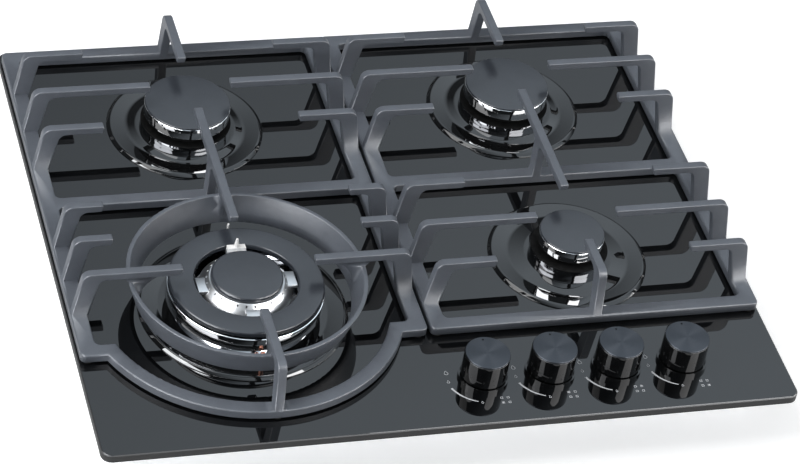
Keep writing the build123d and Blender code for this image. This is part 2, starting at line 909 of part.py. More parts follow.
save(make_pads(-column_x, [(-column_x, arc_front + cross_bar / 2)]), "left_grate_pads")


# Controls: tap, turning plug, sliding stem, return spring, knob and its metal face
plug_low = tap_bottom + tap_floor
plug_high = plug_low + plug_height
neck_high = tap_top + neck_height
knob_low = glass_face + knob_gap
knob_high = knob_low + knob_height
stem_low = plug_high - stem_in_plug
clip_low = glass_under + clip_rise


def d_section(radius, flat):
    """Round section with one flat."""
    Circle(radius)
    with Locations((radius + flat, 0)):
        Rectangle(2 * radius, 2 * radius, mode=Mode.SUBTRACT)


def make_tap(x):
    """Tap body on the gas rail, with the plug's bore, the inlet port and the outlet nipple."""
    with BuildPart() as tap:
        with Locations((x, knob_row - tap_front, tap_bottom)):
            Box(tap_width, tap_front + tap_rear, tap_top - tap_bottom, align=(Align.CENTER, Align.MIN, Align.MIN))
        pegs([(x, knob_row)], neck_radius, tap_top, neck_high)
        with Locations((x, rail_front, nipple_axis)):
            Cylinder(nipple_radius, nipple_length, rotation=(-90, 0, 0), align=(Align.CENTER, Align.CENTER, Align.MIN))
        drill([(x, knob_row)], plug_radius, plug_low - plug_end_gap, plug_high + plug_end_gap)
        drill([(x, knob_row)], clip_radius + spring_gap, plug_high, neck_high)
        with Locations((x, rail_front + nipple_length, nipple_axis)):
            Cylinder(
                tube_radius + fit_gap,
                nipple_socket,
                rotation=(-90, 0, 0),
                align=(Align.CENTER, Align.CENTER, Align.MAX),
                mode=Mode.SUBTRACT,
            )
        for height in (rail_axis, nipple_axis):
            with Locations((x, rail_front, height)):
                Cylinder(
                    port_bore,
                    tap_rear,
                    rotation=(-90, 0, 0),
                    align=(Align.CENTER, Align.CENTER, Align.MAX),
                    mode=Mode.SUBTRACT,
                )
    return tap.part


def make_plug(x):
    """Turning plug: its groove joins the two ports when the knob is opened."""
    with BuildPart() as plug:
        pegs([(x, knob_row)], plug_radius - fit_gap, plug_low, plug_high)
        with BuildSketch(Plane((x, knob_row, stem_low - push_travel - stem_end_gap))):
            d_section(stem_radius + fit_gap, stem_flat + fit_gap)
        extrude(amount=stem_in_plug + push_travel + stem_end_gap, mode=Mode.SUBTRACT)
        with Locations((x, knob_row - plug_radius, (rail_axis + nipple_axis) / 2)):
            groove = nipple_axis - rail_axis + 2 * port_bore
            Box(2 * port_bore, 2 * plug_groove, groove, mode=Mode.SUBTRACT)
    return plug.part


def make_stem(x):
    """D shaft from the plug to the knob, with the clip that the return spring pushes on."""
    with BuildPart() as stem:
        with BuildSketch(Plane((x, knob_row, stem_low))):
            d_section(stem_radius, stem_flat)
        extrude(amount=knob_low + stem_in_knob - stem_low)
        pegs([(x, knob_row)], clip_radius, clip_low, clip_low + clip_thickness)
    return stem.part


def make_spring(x):
    """Return spring round the stem, between the plug and the clip, as the sleeve that it fills."""
    with BuildPart() as spring:
        pegs([(x, knob_row)], stem_radius + spring_gap + spring_wall, plug_high, clip_low)
        drill([(x, knob_row)], stem_radius + spring_gap, plug_high, clip_low)
    return spring.part


def make_knob(x):
    """Knob body with a slight taper and a blind D bore."""
    with BuildPart() as knob:
        turn((x, knob_row), [(0, knob_low), (knob_radius, knob_low), (knob_radius - knob_taper, knob_high),
                             (0, knob_high)])
        fillet(knob.edges().group_by(Axis.Z)[-1], knob_taper)
        with BuildSketch(Plane((x, knob_row, knob_low))):
            d_section(stem_radius + fit_gap, stem_flat + fit_gap)
        extrude(amount=stem_in_knob + seat_gap, mode=Mode.SUBTRACT)
    return knob.part


def make_face_disc(x):
    """Brushed metal disc on the knob."""
    with BuildPart() as disc:
        pegs([(x, knob_row)], face_radius, knob_high, knob_high + face_thickness)
        chamfer(disc.edges().group_by(Axis.Z)[-1], face_bevel)
    return disc.part


for name, x in knob_x.items():
    save(make_tap(x), f"{name}_tap")
    save(make_plug(x), f"{name}_plug")
    save(make_stem(x), f"{name}_stem")
    save(make_spring(x), f"{name}_spring")
    save(make_knob(x), f"{name}_knob")
    save(make_face_disc(x), f"{name}_knob_face")

with BuildPart() as knob_collars:
    for centre in knob_centres:
        turn(
            centre,
            [
                (trim_hole, glass_face),
                (trim_outer, glass_face),
                (trim_outer, glass_face + trim_height),
                (trim_outer - trim_wall, glass_face + trim_height),
                (trim_outer - trim_wall, glass_face + trim_floor),
                (trim_hole, glass_face + trim_floor),
            ],
        )
save(knob_collars.part, "knob_collars")

# Gas rail on two legs, drilled from its right end
rail_left = first_knob_x - rail_overhang
rail_right = knob_x["front_right"] + rail_overhang
with BuildPart() as gas_rail:
    with Locations((rail_left, rail_middle, rail_bottom)):
        Box(rail_right - rail_left, rail_size, rail_size, align=(Align.MIN, Align.CENTER, Align.MIN))
    for x in (rail_left + knob_pitch / 2, rail_right - knob_pitch / 2):
        with Locations((x, rail_middle, sheet)):
            Box(rail_size, rail_size, rail_bottom - sheet, align=(Align.CENTER, Align.CENTER, Align.MIN))
    with Locations((rail_right, rail_middle, rail_axis)):
        Cylinder(
            rail_bore + fit_gap,
            rail_right - rail_left - rail_wall,
            rotation=(0, 90, 0),
            align=(Align.CENTER, Align.CENTER, Align.MAX),
            mode=Mode.SUBTRACT,
        )
    for x in knob_x.values():
        with Locations((x, rail_front, rail_axis)):
            Cylinder(port_bore, rail_size / 2, rotation=(90, 0, 0), mode=Mode.SUBTRACT)
save(gas_rail.part, "gas_rail")

drop_y = rail_front + rail_size + tube_drop
grip = pedestal_radius - tube_grip
lane_rear_left = knob_x["rear_left"] - lane_step
lane_rear_right = lane_rear_left + lane_step
turn_row = drop_y + lane_step + tube_bend
module_lane = module_place[0] + module_length / 2 + tube_bend
routes = {
    "wok": [(knob_x["wok"], wok_row), (-column_x + grip, wok_row)],
    "rear_left": [
        (lane_rear_left, drop_y),
        (lane_rear_left, middle_bar_y),
        (module_lane, middle_bar_y),
        (module_lane, rear_row),
        (-column_x + grip, rear_row),
    ],
    "rear_right": [
        (knob_x["rear_right"], turn_row),
        (lane_rear_right, turn_row),
        (lane_rear_right, rear_row),
        (column_x - grip, rear_row),
    ],
    "front_right": [(knob_x["front_right"], front_row), (column_x + grip, front_row)],
}


def tube_along(points):
    """Thin tube through the points, with a round bend at every corner."""
    with BuildPart() as tube:
        with BuildLine() as route:
            FilletPolyline(*points, radius=tube_bend)
        with BuildSketch(Plane(origin=points[0], z_dir=route.line % 0)):
            Circle(tube_radius)
            Circle(tube_radius - tube_wall, mode=Mode.SUBTRACT)
        sweep(path=route.line)
    return tube.part


tubes = []
for name, lanes in routes.items():
    x = knob_x[name]
    start = [(x, rail_front + seat_gap, nipple_axis), (x, drop_y, nipple_axis), (x, drop_y, tube_low)]
    tubes.append(tube_along(start + [(*lane, tube_low) for lane in lanes]))
gas_tubes = Compound(label="gas_tubes", children=tubes)
save(gas_tubes, "gas_tubes")

# Threaded inlet in the pan's recess, with the feed pipe to the rail
pipe_high = recess_height + sheet + inlet_block_height / 2
with BuildPart() as gas_inlet:
    with BuildLine() as route:
        FilletPolyline(
            (rail_right - feed_radius, rail_middle, rail_axis),
            (inlet_x, rail_middle, rail_axis),
            (inlet_x, inlet_y - feed_rise_start, rail_axis),
            (inlet_x, inlet_y - feed_rise_end, pipe_high),
            (inlet_x, inlet_y, pipe_high),
            radius=feed_bend,
        )
    with BuildSketch(Plane(origin=route.line @ 0, z_dir=route.line % 0)) as section:
        Circle(feed_radius)
    sweep(section.sketch, path=route.line)
    with Locations((inlet_x, inlet_y, recess_height + sheet)):
        Box(inlet_block, inlet_block, inlet_block_height, align=(Align.CENTER, Align.CENTER, Align.MIN))
    pegs([(inlet_x, inlet_y)], inlet_thread, recess_height - inlet_below, recess_height + sheet)
    with BuildSketch(Plane(origin=route.line @ 0, z_dir=route.line % 0)) as hollow:
        Circle(feed_radius - tube_wall)
    sweep(hollow.sketch, path=route.line, mode=Mode.SUBTRACT)
    drill([(inlet_x, inlet_y)], inlet_bore, recess_height - inlet_below, pipe_high)
save(gas_inlet.part, "gas_inlet")

with BuildPart() as ignition_module:
    with Locations((*module_place, sheet)):
        Box(module_length, module_depth, module_height, align=(Align.CENTER, Align.CENTER, Align.MIN))
    fillet(ignition_module.edges().filter_by(Axis.Z), terminal_radius)
    count = len(burner_centres) + 1
    for i in range(count):
        x = module_place[0] + (i - (count - 1) / 2) * module_length / (count + 1)
        pegs([(x, module_place[1])], terminal_radius, sheet + module_height, sheet + module_height + terminal_height)
save(ignition_module.part, "ignition_module")
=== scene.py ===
import json
import math
import bpy
import bmesh
from mathutils import Matrix, Vector


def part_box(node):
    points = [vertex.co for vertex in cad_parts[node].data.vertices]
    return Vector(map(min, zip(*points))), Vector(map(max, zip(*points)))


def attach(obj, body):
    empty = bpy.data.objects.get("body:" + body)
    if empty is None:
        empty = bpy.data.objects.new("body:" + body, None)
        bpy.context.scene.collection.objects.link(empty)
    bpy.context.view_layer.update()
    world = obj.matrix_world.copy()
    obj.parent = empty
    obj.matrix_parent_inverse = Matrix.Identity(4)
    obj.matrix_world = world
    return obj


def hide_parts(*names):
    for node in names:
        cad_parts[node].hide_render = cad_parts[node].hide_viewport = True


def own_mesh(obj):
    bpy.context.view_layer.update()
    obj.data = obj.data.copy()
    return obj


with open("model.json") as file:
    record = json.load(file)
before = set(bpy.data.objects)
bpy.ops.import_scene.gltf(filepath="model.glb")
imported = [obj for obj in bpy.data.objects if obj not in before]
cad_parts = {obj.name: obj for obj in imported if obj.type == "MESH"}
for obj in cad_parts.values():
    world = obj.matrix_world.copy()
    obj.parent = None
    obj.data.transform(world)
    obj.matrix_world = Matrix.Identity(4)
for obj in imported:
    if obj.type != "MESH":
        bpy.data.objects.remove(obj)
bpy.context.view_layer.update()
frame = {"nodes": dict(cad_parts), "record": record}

MM = 0.001
TURN = 2 * math.pi
nodes = frame["nodes"]


# ---------------------------------------------------------------- places read from the frame
def low(node):
    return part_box(node)[0].z


def high(node):
    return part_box(node)[1].z


def wide(node):
    """Radius of a round node."""
    bottom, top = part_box(node)
    return (top.x - bottom.x) / 2


def middle(node):
    """Plan centre of a node."""
    bottom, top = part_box(node)
    return ((bottom.x + top.x) / 2, (bottom.y + top.y) / 2)


BURNERS = ("rear_left", "rear_right", "front_right")
CONTROLS = ("wok", "rear_left", "rear_right", "front_right")
BASE = "cooktop_base"
GLASS = high("glass_top")
WOK = middle("wok_ring_cap")


def radius_above(node, height):
    """Greatest radius of a round node over a height."""
    x, y = middle(node)
    upper = [v.co for v in nodes[node].data.vertices if v.co.z > height]
    return max(math.hypot(place.x - x, place.y - y) for place in upper)


def above_glass(height):
    """Height over the top face of the glass, in millimetres."""
    return (height - GLASS) / MM


# ---------------------------------------------------------------- camera
CAMERA_PLACE = Vector((-0.7600, -1.9567, 1.7749 + GLASS))
CAMERA_TARGET = Vector((-0.00955, 0.06136, GLASS))
CAMERA_ROLL = math.radians(9.63)
CAMERA_LENS = 143.2
CAMERA_SENSOR = 36
CAMERA_SHIFT = (0.0556, -0.0738)
CAMERA_SIGHT = 50


def make_camera():
    data = bpy.data.cameras.new("camera")
    data.lens = CAMERA_LENS
    data.sensor_width = CAMERA_SENSOR
    data.shift_x, data.shift_y = CAMERA_SHIFT
    data.clip_end = CAMERA_SIGHT
    camera = bpy.data.objects.new("camera", data)
    bpy.context.scene.collection.objects.link(camera)
    aim = (CAMERA_TARGET - CAMERA_PLACE).to_track_quat("-Z", "Y").to_matrix().to_4x4()
    camera.matrix_world = (
        Matrix.Translation(CAMERA_PLACE) @ aim @ Matrix.Rotation(CAMERA_ROLL, 4, "Z"))
    bpy.context.scene.camera = camera


make_camera()


# ---------------------------------------------------------------- mesh tools
SHARP = 32
MERGE, THIN = 1e-6, 1e-7


def put(name, mesh, material, body, replaced=()):
    """Make a mesh a piece of the cooktop: its body, its finish and the nodes it stands for."""
    piece = bpy.data.objects.new(name, mesh)
    bpy.context.scene.collection.objects.link(piece)
    mesh.materials.clear()
    mesh.materials.append(material)
    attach(piece, body)
    if replaced:
        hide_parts(*replaced)
    return piece


def arc_corner(before, corner, after, radius, steps):
    """Points of the arc that rounds one corner of a flat outline."""
    if radius <= 0:
        return [corner]
    a, b = Vector(before) - Vector(corner), Vector(after) - Vector(corner)
    span = a.angle(b)
    reach = min(radius / math.tan(span / 2), 0.49 * a.length, 0.49 * b.length)
    radius = reach * math.tan(span / 2)
    a.normalize()
    b.normalize()
    start, end = Vector(corner) + a * reach, Vector(corner) + b * reach
    centre = Vector(corner) + (a + b).normalized() * radius / math.sin(span / 2)
    points = []
    for i in range(steps + 1):
        point = start.lerp(end, i / steps) - centre
        points.append(tuple(centre + point.normalized() * radius))
    return points


def rounded(corners, steps=6):
    """Flat outline from (across, up, round) corners in millimetres, each with its own round."""
    flat = [(c[0] * MM, c[1] * MM) for c in corners]
    rounds = [(c[2] if len(c) > 2 else 0) * MM for c in corners]
    points = []
    for i, corner in enumerate(flat):
        before, after = flat[i - 1], flat[(i + 1) % len(flat)]
        points += arc_corner(before, corner, after, rounds[i], steps)
    return points


def finished(name, mesh, angle=SHARP):
    """Close seams and poles, turn every face outwards and store the mesh with round shading."""
    bmesh.ops.remove_doubles(mesh, verts=mesh.verts, dist=MERGE)
    bmesh.ops.dissolve_degenerate(mesh, edges=mesh.edges, dist=THIN)
    bmesh.ops.recalc_face_normals(mesh, faces=mesh.faces)
    data = bpy.data.meshes.new(name)
    mesh.to_mesh(data)
    mesh.free()
    data.shade_smooth()
    data.set_sharp_from_angle(angle=math.radians(angle))
    return data


def lathe(name, centre, corners, steps=180):
    """Turned mesh: a closed outline of (radius, height, round) corners swept round an axis.

    Heights count from the top face of the glass, in millimetres. The map called turned holds
    the share of a turn and the distance along the outline.
    """
    outline = rounded(corners)
    count = len(outline)
    along = [0.0]
    for i in range(count):
        step = Vector(outline[(i + 1) % count]) - Vector(outline[i])
        along.append(along[-1] + step.length)
    mesh = bmesh.new()
    turned = mesh.loops.layers.uv.new("turned")
    rings = []
    for i in range(steps):
        c, s = math.cos(TURN * i / steps), math.sin(TURN * i / steps)
        rings.append([mesh.verts.new((centre[0] + r * c, centre[1] + r * s, GLASS + z))
                      for r, z in outline])
    for i in range(steps):
        here, there = rings[i], rings[(i + 1) % steps]
        for j in range(count):
            k = (j + 1) % count
            if outline[j][0] > THIN or outline[k][0] > THIN:
                face = mesh.faces.new((here[j], there[j], there[k], here[k]))
                places = ((i, j), (i + 1, j), (i + 1, j + 1), (i, j + 1))
                for loop, (turn, step) in zip(face.loops, places):
                    loop[turned].uv = (turn / steps, along[step])
    return finished(name, mesh)


def from_node(name, node, angle=SHARP):
    """A merged, smoothly shaded copy of a CAD node."""
    mesh = bmesh.new()
    mesh.from_mesh(nodes[node].data)
    mesh.transform(nodes[node].matrix_world)
    return finished(name, mesh, angle)


def slab(mesh, outline, bottom, top):
    """Add a flat plate between two heights to a mesh being built, its outline in metres."""
    lower = [mesh.verts.new((x, y, bottom)) for x, y in outline]
    upper = [mesh.verts.new((x, y, top)) for x, y in outline]
    mesh.faces.new(lower)
    mesh.faces.new(upper)
    for i in range(len(outline)):
        k = (i + 1) % len(outline)
        mesh.faces.new((lower[i], lower[k], upper[k], upper[i]))


def add_node(tree, kind, links=(), **values):
    """Add a node, set its own values or its sockets, and link what feeds it."""
    node = tree.nodes.new(kind)
    for name, value in values.items():
        if hasattr(node, name):
            setattr(node, name, value)
        else:
            node.inputs[name.replace("_", " ")].default_value = value
    for socket, source in dict(links).items():
        tree.links.new(source, node.inputs[socket])
    return node


# ---------------------------------------------------------------- geometry node trees
SOCKETS = {int: "NodeSocketInt", float: "NodeSocketFloat", "material": "NodeSocketMaterial"}


class Tree:
    """Geometry node tree with named size inputs."""

    def __init__(self, name, **inputs):
        self.tree = bpy.data.node_groups.new(name, "GeometryNodeTree")
        self.sockets = {}
        face = self.tree.interface
        face.new_socket(name="Geometry", in_out="INPUT", socket_type="NodeSocketGeometry")
        for label, kind in inputs.items():
            socket = face.new_socket(name=label, in_out="INPUT", socket_type=SOCKETS[kind])
            self.sockets[label] = socket.identifier
        face.new_socket(name="Geometry", in_out="OUTPUT", socket_type="NodeSocketGeometry")
        self.given = self.tree.nodes.new("NodeGroupInput").outputs
        self.result = self.tree.nodes.new("NodeGroupOutput").inputs[0]

    def add(self, kind, links=(), **values):
        return add_node(self.tree, kind, links, **values)

    def close(self, geometry):
        """End the tree: instances become real meshes and take their finish."""
        real = self.add("GeometryNodeRealizeInstances", {0: geometry})
        dressed = self.add("GeometryNodeSetMaterial",
                           {0: real.outputs[0], "Material": self.given["Finish"]})
        self.tree.links.new(dressed.outputs[0], self.result)

    def make(self, name, start, **values):
        """Run the tree on a mesh and return the plain mesh that comes out."""
        carrier = bpy.data.objects.new(f"{name}_carrier", start)
        bpy.context.scene.collection.objects.link(carrier)
        modifier = carrier.modifiers.new("grown", "NODES")
        modifier.node_group = self.tree
        for label, value in values.items():
            modifier[self.sockets[label]] = value
        seen = carrier.evaluated_get(bpy.context.evaluated_depsgraph_get())
        mesh = bpy.data.meshes.new_from_object(seen)
        mesh.name = name
        carrier.modifiers.remove(modifier)
        bpy.data.objects.remove(carrier)
        return mesh


def facing_out(grow):
    """Turn that points a copy's X away from the axis."""
    place = grow.add("GeometryNodeInputPosition")
    return grow.add("FunctionNodeAlignRotationToVector", {"Vector": place.outputs[0]},
                    axis="X", pivot_axis="Z").outputs[0]


def cutting_tree():
    """Cut equal openings through a turned wall: bars with any number of sides round its axis."""
    grow = Tree("ring_of_openings", Count=int, Sides=int, Reach=float, Length=float, Width=float,
                Height=float, CentreX=float, CentreY=float, Level=float, Finish="material")
    given = grow.given
    bar = grow.add("GeometryNodeMeshCylinder",
                   {"Vertices": given["Sides"], "Depth": given["Length"]}, Radius=math.sqrt(0.5))
    size = grow.add("ShaderNodeCombineXYZ", {"X": given["Width"], "Y": given["Height"]}, Z=1.0)
    eighth = grow.add("GeometryNodeTransform", {"Geometry": bar.outputs["Mesh"]},
                      Rotation=(0, 0, TURN / 8))
    sized = grow.add("GeometryNodeTransform",
                     {"Geometry": eighth.outputs[0], "Scale": size.outputs[0]})
    lying = grow.add("GeometryNodeTransform", {"Geometry": sized.outputs[0]},
                     Rotation=(TURN / 4, 0, TURN / 4))
    ring = grow.add("GeometryNodeMeshCircle",
                    {"Vertices": given["Count"], "Radius": given["Reach"]})
    bars = grow.add("GeometryNodeInstanceOnPoints",
                    {"Points": ring.outputs["Mesh"], "Instance": lying.outputs[0],
                     "Rotation": facing_out(grow)})
    centre = grow.add("ShaderNodeCombineXYZ",
                      {"X": given["CentreX"], "Y": given["CentreY"], "Z": given["Level"]})
    moved = grow.add("GeometryNodeTransform",
                     {"Geometry": bars.outputs[0], "Translation": centre.outputs[0]})
    real = grow.add("GeometryNodeRealizeInstances", {0: moved.outputs[0]})
    cut = grow.add("GeometryNodeMeshBoolean", operation="DIFFERENCE", solver="EXACT")
    grow.tree.links.new(given["Geometry"], cut.inputs["Mesh 1"])
    grow.tree.links.new(real.outputs[0], cut.inputs["Mesh 2"])
    grow.close(cut.outputs["Mesh"])
    return grow


def round_tree():
    """Set copies of one piece round an upright axis."""
    grow = Tree("ring_of_pieces", Count=int, CentreX=float, CentreY=float, Finish="material")
    centre = grow.add("ShaderNodeCombineXYZ",
                      {"X": grow.given["CentreX"], "Y": grow.given["CentreY"]})
    ring = grow.add("GeometryNodeMeshCircle", {"Vertices": grow.given["Count"]}, Radius=1.0)
    kept = grow.add("GeometryNodeStoreNamedAttribute",
                    {"Geometry": ring.outputs["Mesh"], "Value": facing_out(grow)},
                    data_type="QUATERNION", Name="facing")
    gathered = grow.add("GeometryNodeSetPosition",
                        {"Geometry": kept.outputs[0], "Position": centre.outputs[0]})
    facing = grow.add("GeometryNodeInputNamedAttribute", data_type="QUATERNION", Name="facing")
    copies = grow.add("GeometryNodeInstanceOnPoints",
                      {"Points": gathered.outputs[0], "Instance": grow.given["Geometry"],
                       "Rotation": facing.outputs[0]})
    grow.close(copies.outputs[0])
    return grow


def row_tree():
    """Repeat one piece along a straight row."""
    grow = Tree("row_of_pieces", Count=int, Pitch=float, Finish="material")
    step = grow.add("ShaderNodeCombineXYZ", {"X": grow.given["Pitch"]})
    row = grow.add("GeometryNodeMeshLine",
                   {"Count": grow.given["Count"], "Offset": step.outputs[0]})
    copies = grow.add("GeometryNodeInstanceOnPoints",
                      {"Points": row.outputs[0], "Instance": grow.given["Geometry"]})
    grow.close(copies.outputs[0])
    return grow


CUTS = cutting_tree()
ROUND = round_tree()
ROW = row_tree()


def cut_round(name, mesh, centre, material, count, sides, reach, length, width, height, level):
    """Cut a ring of equal openings through a turned wall; millimetres, level over the glass."""
    cut = CUTS.make(name, mesh, Count=count, Sides=sides, Reach=reach * MM, Length=length * MM,
                    Width=width * MM, Height=height * MM, CentreX=centre[0], CentreY=centre[1],
                    Level=GLASS + level * MM, Finish=material)
    cut.shade_smooth()
    cut.set_sharp_from_angle(angle=math.radians(SHARP))
    return cut


# ---------------------------------------------------------------- finishes
class Finish:
    """Node tree of one material, with short calls for the nodes that the finishes share."""

    def __init__(self, name, **sockets):
        self.material = bpy.data.materials.new(name)
        self.material.use_nodes = True
        self.tree = self.material.node_tree
        self.shader = self.tree.nodes["Principled BSDF"]
        self.place = self.tree.nodes.new("ShaderNodeTexCoord").outputs["Object"]
        for socket, value in sockets.items():
            self.shader.inputs[socket.replace("_", " ")].default_value = value

    def add(self, kind, links=(), **values):
        return add_node(self.tree, kind, links, **values)

    def noise(self, scale, detail=4, roughness=0.6, place=None):
        return self.add("ShaderNodeTexNoise", {"Vector": place or self.place}, Scale=scale,
                        Detail=detail, Roughness=roughness).outputs["Fac"]

    def grooves(self, around, across):
        """Noise on the turned map, drawn out round the axis."""
        turned = self.add("ShaderNodeUVMap", uv_map="turned").outputs["UV"]
        drawn = self.add("ShaderNodeMapping", {"Vector": turned}, Scale=(around, across, 1))
        return self.noise(1, 3, 0.7, drawn.outputs["Vector"])

    def tones(self, source, dark, pale):
        """Colour that wanders between two tones."""
        node = self.add("ShaderNodeValToRGB", {"Fac": source})
        for element, place, tone in zip(node.color_ramp.elements, (0.3, 0.7), (dark, pale)):
            element.position = place
            element.color = (*tone, 1)
        return node.outputs["Color"]

    def spread(self, source, least, most):
        """Map a 0 to 1 value onto a range."""
        return self.add("ShaderNodeMapRange", {"Value": source}, To_Min=least,
                        To_Max=most).outputs["Result"]

    def bump(self, height, depth, strength):
        node = self.add("ShaderNodeBump", {"Height": height}, Distance=depth, Strength=strength)
        self.feed("Normal", node.outputs["Normal"])

    def feed(self, socket, source):
        self.tree.links.new(source, self.shader.inputs[socket])


def tint(value, blue=1.0):
    """Grey with a touch of blue."""
    return (value, value * (1 + 0.35 * (blue - 1)), value * blue)


def surface(name, tones, gloss, relief=None, **sockets):
    """Finish with wandering tones, uneven gloss and, where one is given, a fine relief.

    Each of the three opens with its grain: noise scale, detail and roughness.
    """
    finish = Finish(name, **sockets)
    grain, dark, pale = tones
    finish.feed("Base Color", finish.tones(finish.noise(*grain), dark, pale))
    grain, least, most = gloss
    finish.feed("Roughness", finish.spread(finish.noise(*grain), least, most))
    if relief:
        grain, depth, strength = relief
        finish.bump(finish.noise(*grain), depth, strength)
    return finish.material


BEVEL_TOP, GROUND_EDGE = GLASS - 0.1 * MM, 0.5


def black_glass():
    """Black glass, polished on its face and ground round its edge."""
    finish = Finish("black_glass", IOR=1.52)
    finish.feed("Base Color", finish.tones(finish.noise(6), tint(0.002, 1.2), tint(0.004, 1.2)))
    height = finish.add("ShaderNodeSeparateXYZ", {"Vector": finish.place}).outputs["Z"]
    face = finish.add("ShaderNodeMath", {0: height}, operation="GREATER_THAN")
    face.inputs[1].default_value = BEVEL_TOP
    polish = finish.spread(finish.noise(14, 6), 0.004, 0.018)
    edge = finish.add("ShaderNodeMix", {"Factor": face.outputs[0], "B": polish}, A=GROUND_EDGE)
    finish.feed("Roughness", edge.outputs[0])
    return finish.material


def chrome():
    """Bright plating over fine turned grooves."""
    finish = Finish("chrome", Metallic=1.0)
    finish.feed("Base Color", finish.tones(finish.noise(30), tint(0.74, 1.02), tint(0.8, 1.02)))
    finish.feed("Roughness", finish.spread(finish.grooves(2, 9000), 0.02, 0.08))
    return finish.material


def spun_metal():
    """Dark disc with fine turned grooves, which draw each light out into a wedge."""
    finish = Finish("spun_metal", Metallic=1.0, Anisotropic=0.85, Anisotropic_Rotation=0.25)
    finish.feed("Base Color", finish.tones(finish.grooves(3, 9000), tint(0.046, 1.2),
                                           tint(0.062, 1.2)))
    finish.feed("Roughness", finish.spread(finish.grooves(3, 6000), 0.26, 0.36))
    tangent = finish.add("ShaderNodeTangent", direction_type="UV_MAP", uv_map="turned")
    finish.feed("Tangent", tangent.outputs["Tangent"])
    return finish.material


def plain_metal(name, tone, roughness):
    darker = tuple(0.85 * value for value in tone)
    return surface(name, ((80, 6), darker, tone), ((400, 5), roughness * 0.8, roughness * 1.2),
                   Metallic=1.0)


def soft_black(name):
    return surface(name, ((120, 5), tint(0.012), tint(0.022)), ((700, 3), 0.6, 0.8),
                   ((900, 3), 0.00005, 0.4), IOR=1.45)


# Blue-grey enamel on cast iron: fine orange peel, paler in places.
CAST_ENAMEL = surface("cast_enamel", ((45, 6, 0.65), tint(0.082, 1.3), tint(0.102, 1.3)),
                      ((260, 5), 0.32, 0.44), ((1150, 4), 0.00018, 0.9), IOR=1.5)
CAP_ENAMEL = surface("cap_enamel", ((40, 5), tint(0.028, 1.4), tint(0.035, 1.4)),
                     ((160, 4), 0.2, 0.25), ((1800, 2), 0.00002, 0.35), IOR=1.5)
GLOSS_ENAMEL = surface("gloss_enamel", ((25,), tint(0.003, 1.1), tint(0.006, 1.1)),
                       ((90, 4), 0.008, 0.03), IOR=1.55)
# Polished aluminium casting of a cup, darkened by heat.
DARK_POLISH = surface("dark_polish", ((60,), tint(0.36, 1.06), tint(0.44, 1.06)),
                      ((300, 5), 0.04, 0.1), Metallic=1.0)
CAST_ALUMINIUM = surface("cast_aluminium", ((50,), tint(0.38, 1.02), tint(0.48, 1.02)),
                         ((500, 5), 0.24, 0.36), ((1100, 3), 0.00005, 0.5), Metallic=1.0)
KNOB_GLOSS = surface("knob_gloss", ((40,), tint(0.003, 1.1), tint(0.005, 1.1)),
                     ((200, 5), 0.01, 0.035), IOR=1.5)
WHITE_CERAMIC = surface("white_ceramic", ((200,), (0.8, 0.79, 0.77), (0.9, 0.89, 0.88)),
                        ((400,), 0.2, 0.35), IOR=1.5)
# Near-black finish: painted shade on the recessed parts between the cup and the band, and the
# real dark pips of the knobs.
BLACK_PIP_AND_PAINTED_SHADE = surface("black_pip_and_painted_shade", ((220, 6), tint(0.003), tint(0.01)), ((500, 4), 0.5, 0.75),
               ((1500, 3), 0.00004, 0.5), IOR=1.12)
# Fired print on the glass.
PRINT = surface("printed_enamel", ((900, 3), tint(0.5, 1.05), tint(0.62, 1.05)),
                ((500,), 0.35, 0.5), IOR=1.5)

FINISH = {
    "black_glass": black_glass(),
    "grate_iron": CAST_ENAMEL,
    "cap_enamel": CAP_ENAMEL,
    "bowl_enamel": GLOSS_ENAMEL,
    "crown_chrome": chrome(),
    "crown_aluminium": CAST_ALUMINIUM,
    "cup_aluminium": DARK_POLISH,
    "knob_black": KNOB_GLOSS,
    "trim_black": KNOB_GLOSS,
    "knob_face_metal": spun_metal(),
    "white_ceramic": WHITE_CERAMIC,
    "copper_tip": plain_metal("copper_tip", (0.3, 0.13, 0.09), 0.4),
    "inlet_brass": plain_metal("inlet_brass", (0.72, 0.53, 0.24), 0.25),
    "pan_steel": plain_metal("pan_steel", (0.42, 0.43, 0.44), 0.4),
    "screw_steel": plain_metal("screw_steel", (0.55, 0.55, 0.55), 0.3),
    "rail_steel": plain_metal("rail_steel", (0.45, 0.45, 0.45), 0.35),
    "tube_aluminium": plain_metal("tube_aluminium", (0.7, 0.71, 0.72), 0.3),
    "tap_aluminium": plain_metal("tap_aluminium", (0.65, 0.66, 0.67), 0.4),
    "module_plastic": soft_black("module_plastic"),
    "seal_rubber": soft_black("seal_rubber"),
    "pad_rubber": soft_black("pad_rubber"),
}

for part in frame["record"]["subparts"]:
    mesh = nodes[part["node"]].data
    mesh.materials.clear()
    mesh.materials.append(FINISH[part["material_slot"]])


def dress(name, mesh, body, slot, *replaced):
    """Put a piece in the finish of its own slot."""
    return put(name, mesh, FINISH[slot], body, replaced)


# ---------------------------------------------------------------- pan supports
for node in ("left_grate", "right_grate"):
    side = node.split("_")[0]
    dress(f"{side}_pan_support", from_node(node, node, 40), node, "grate_iron", node)


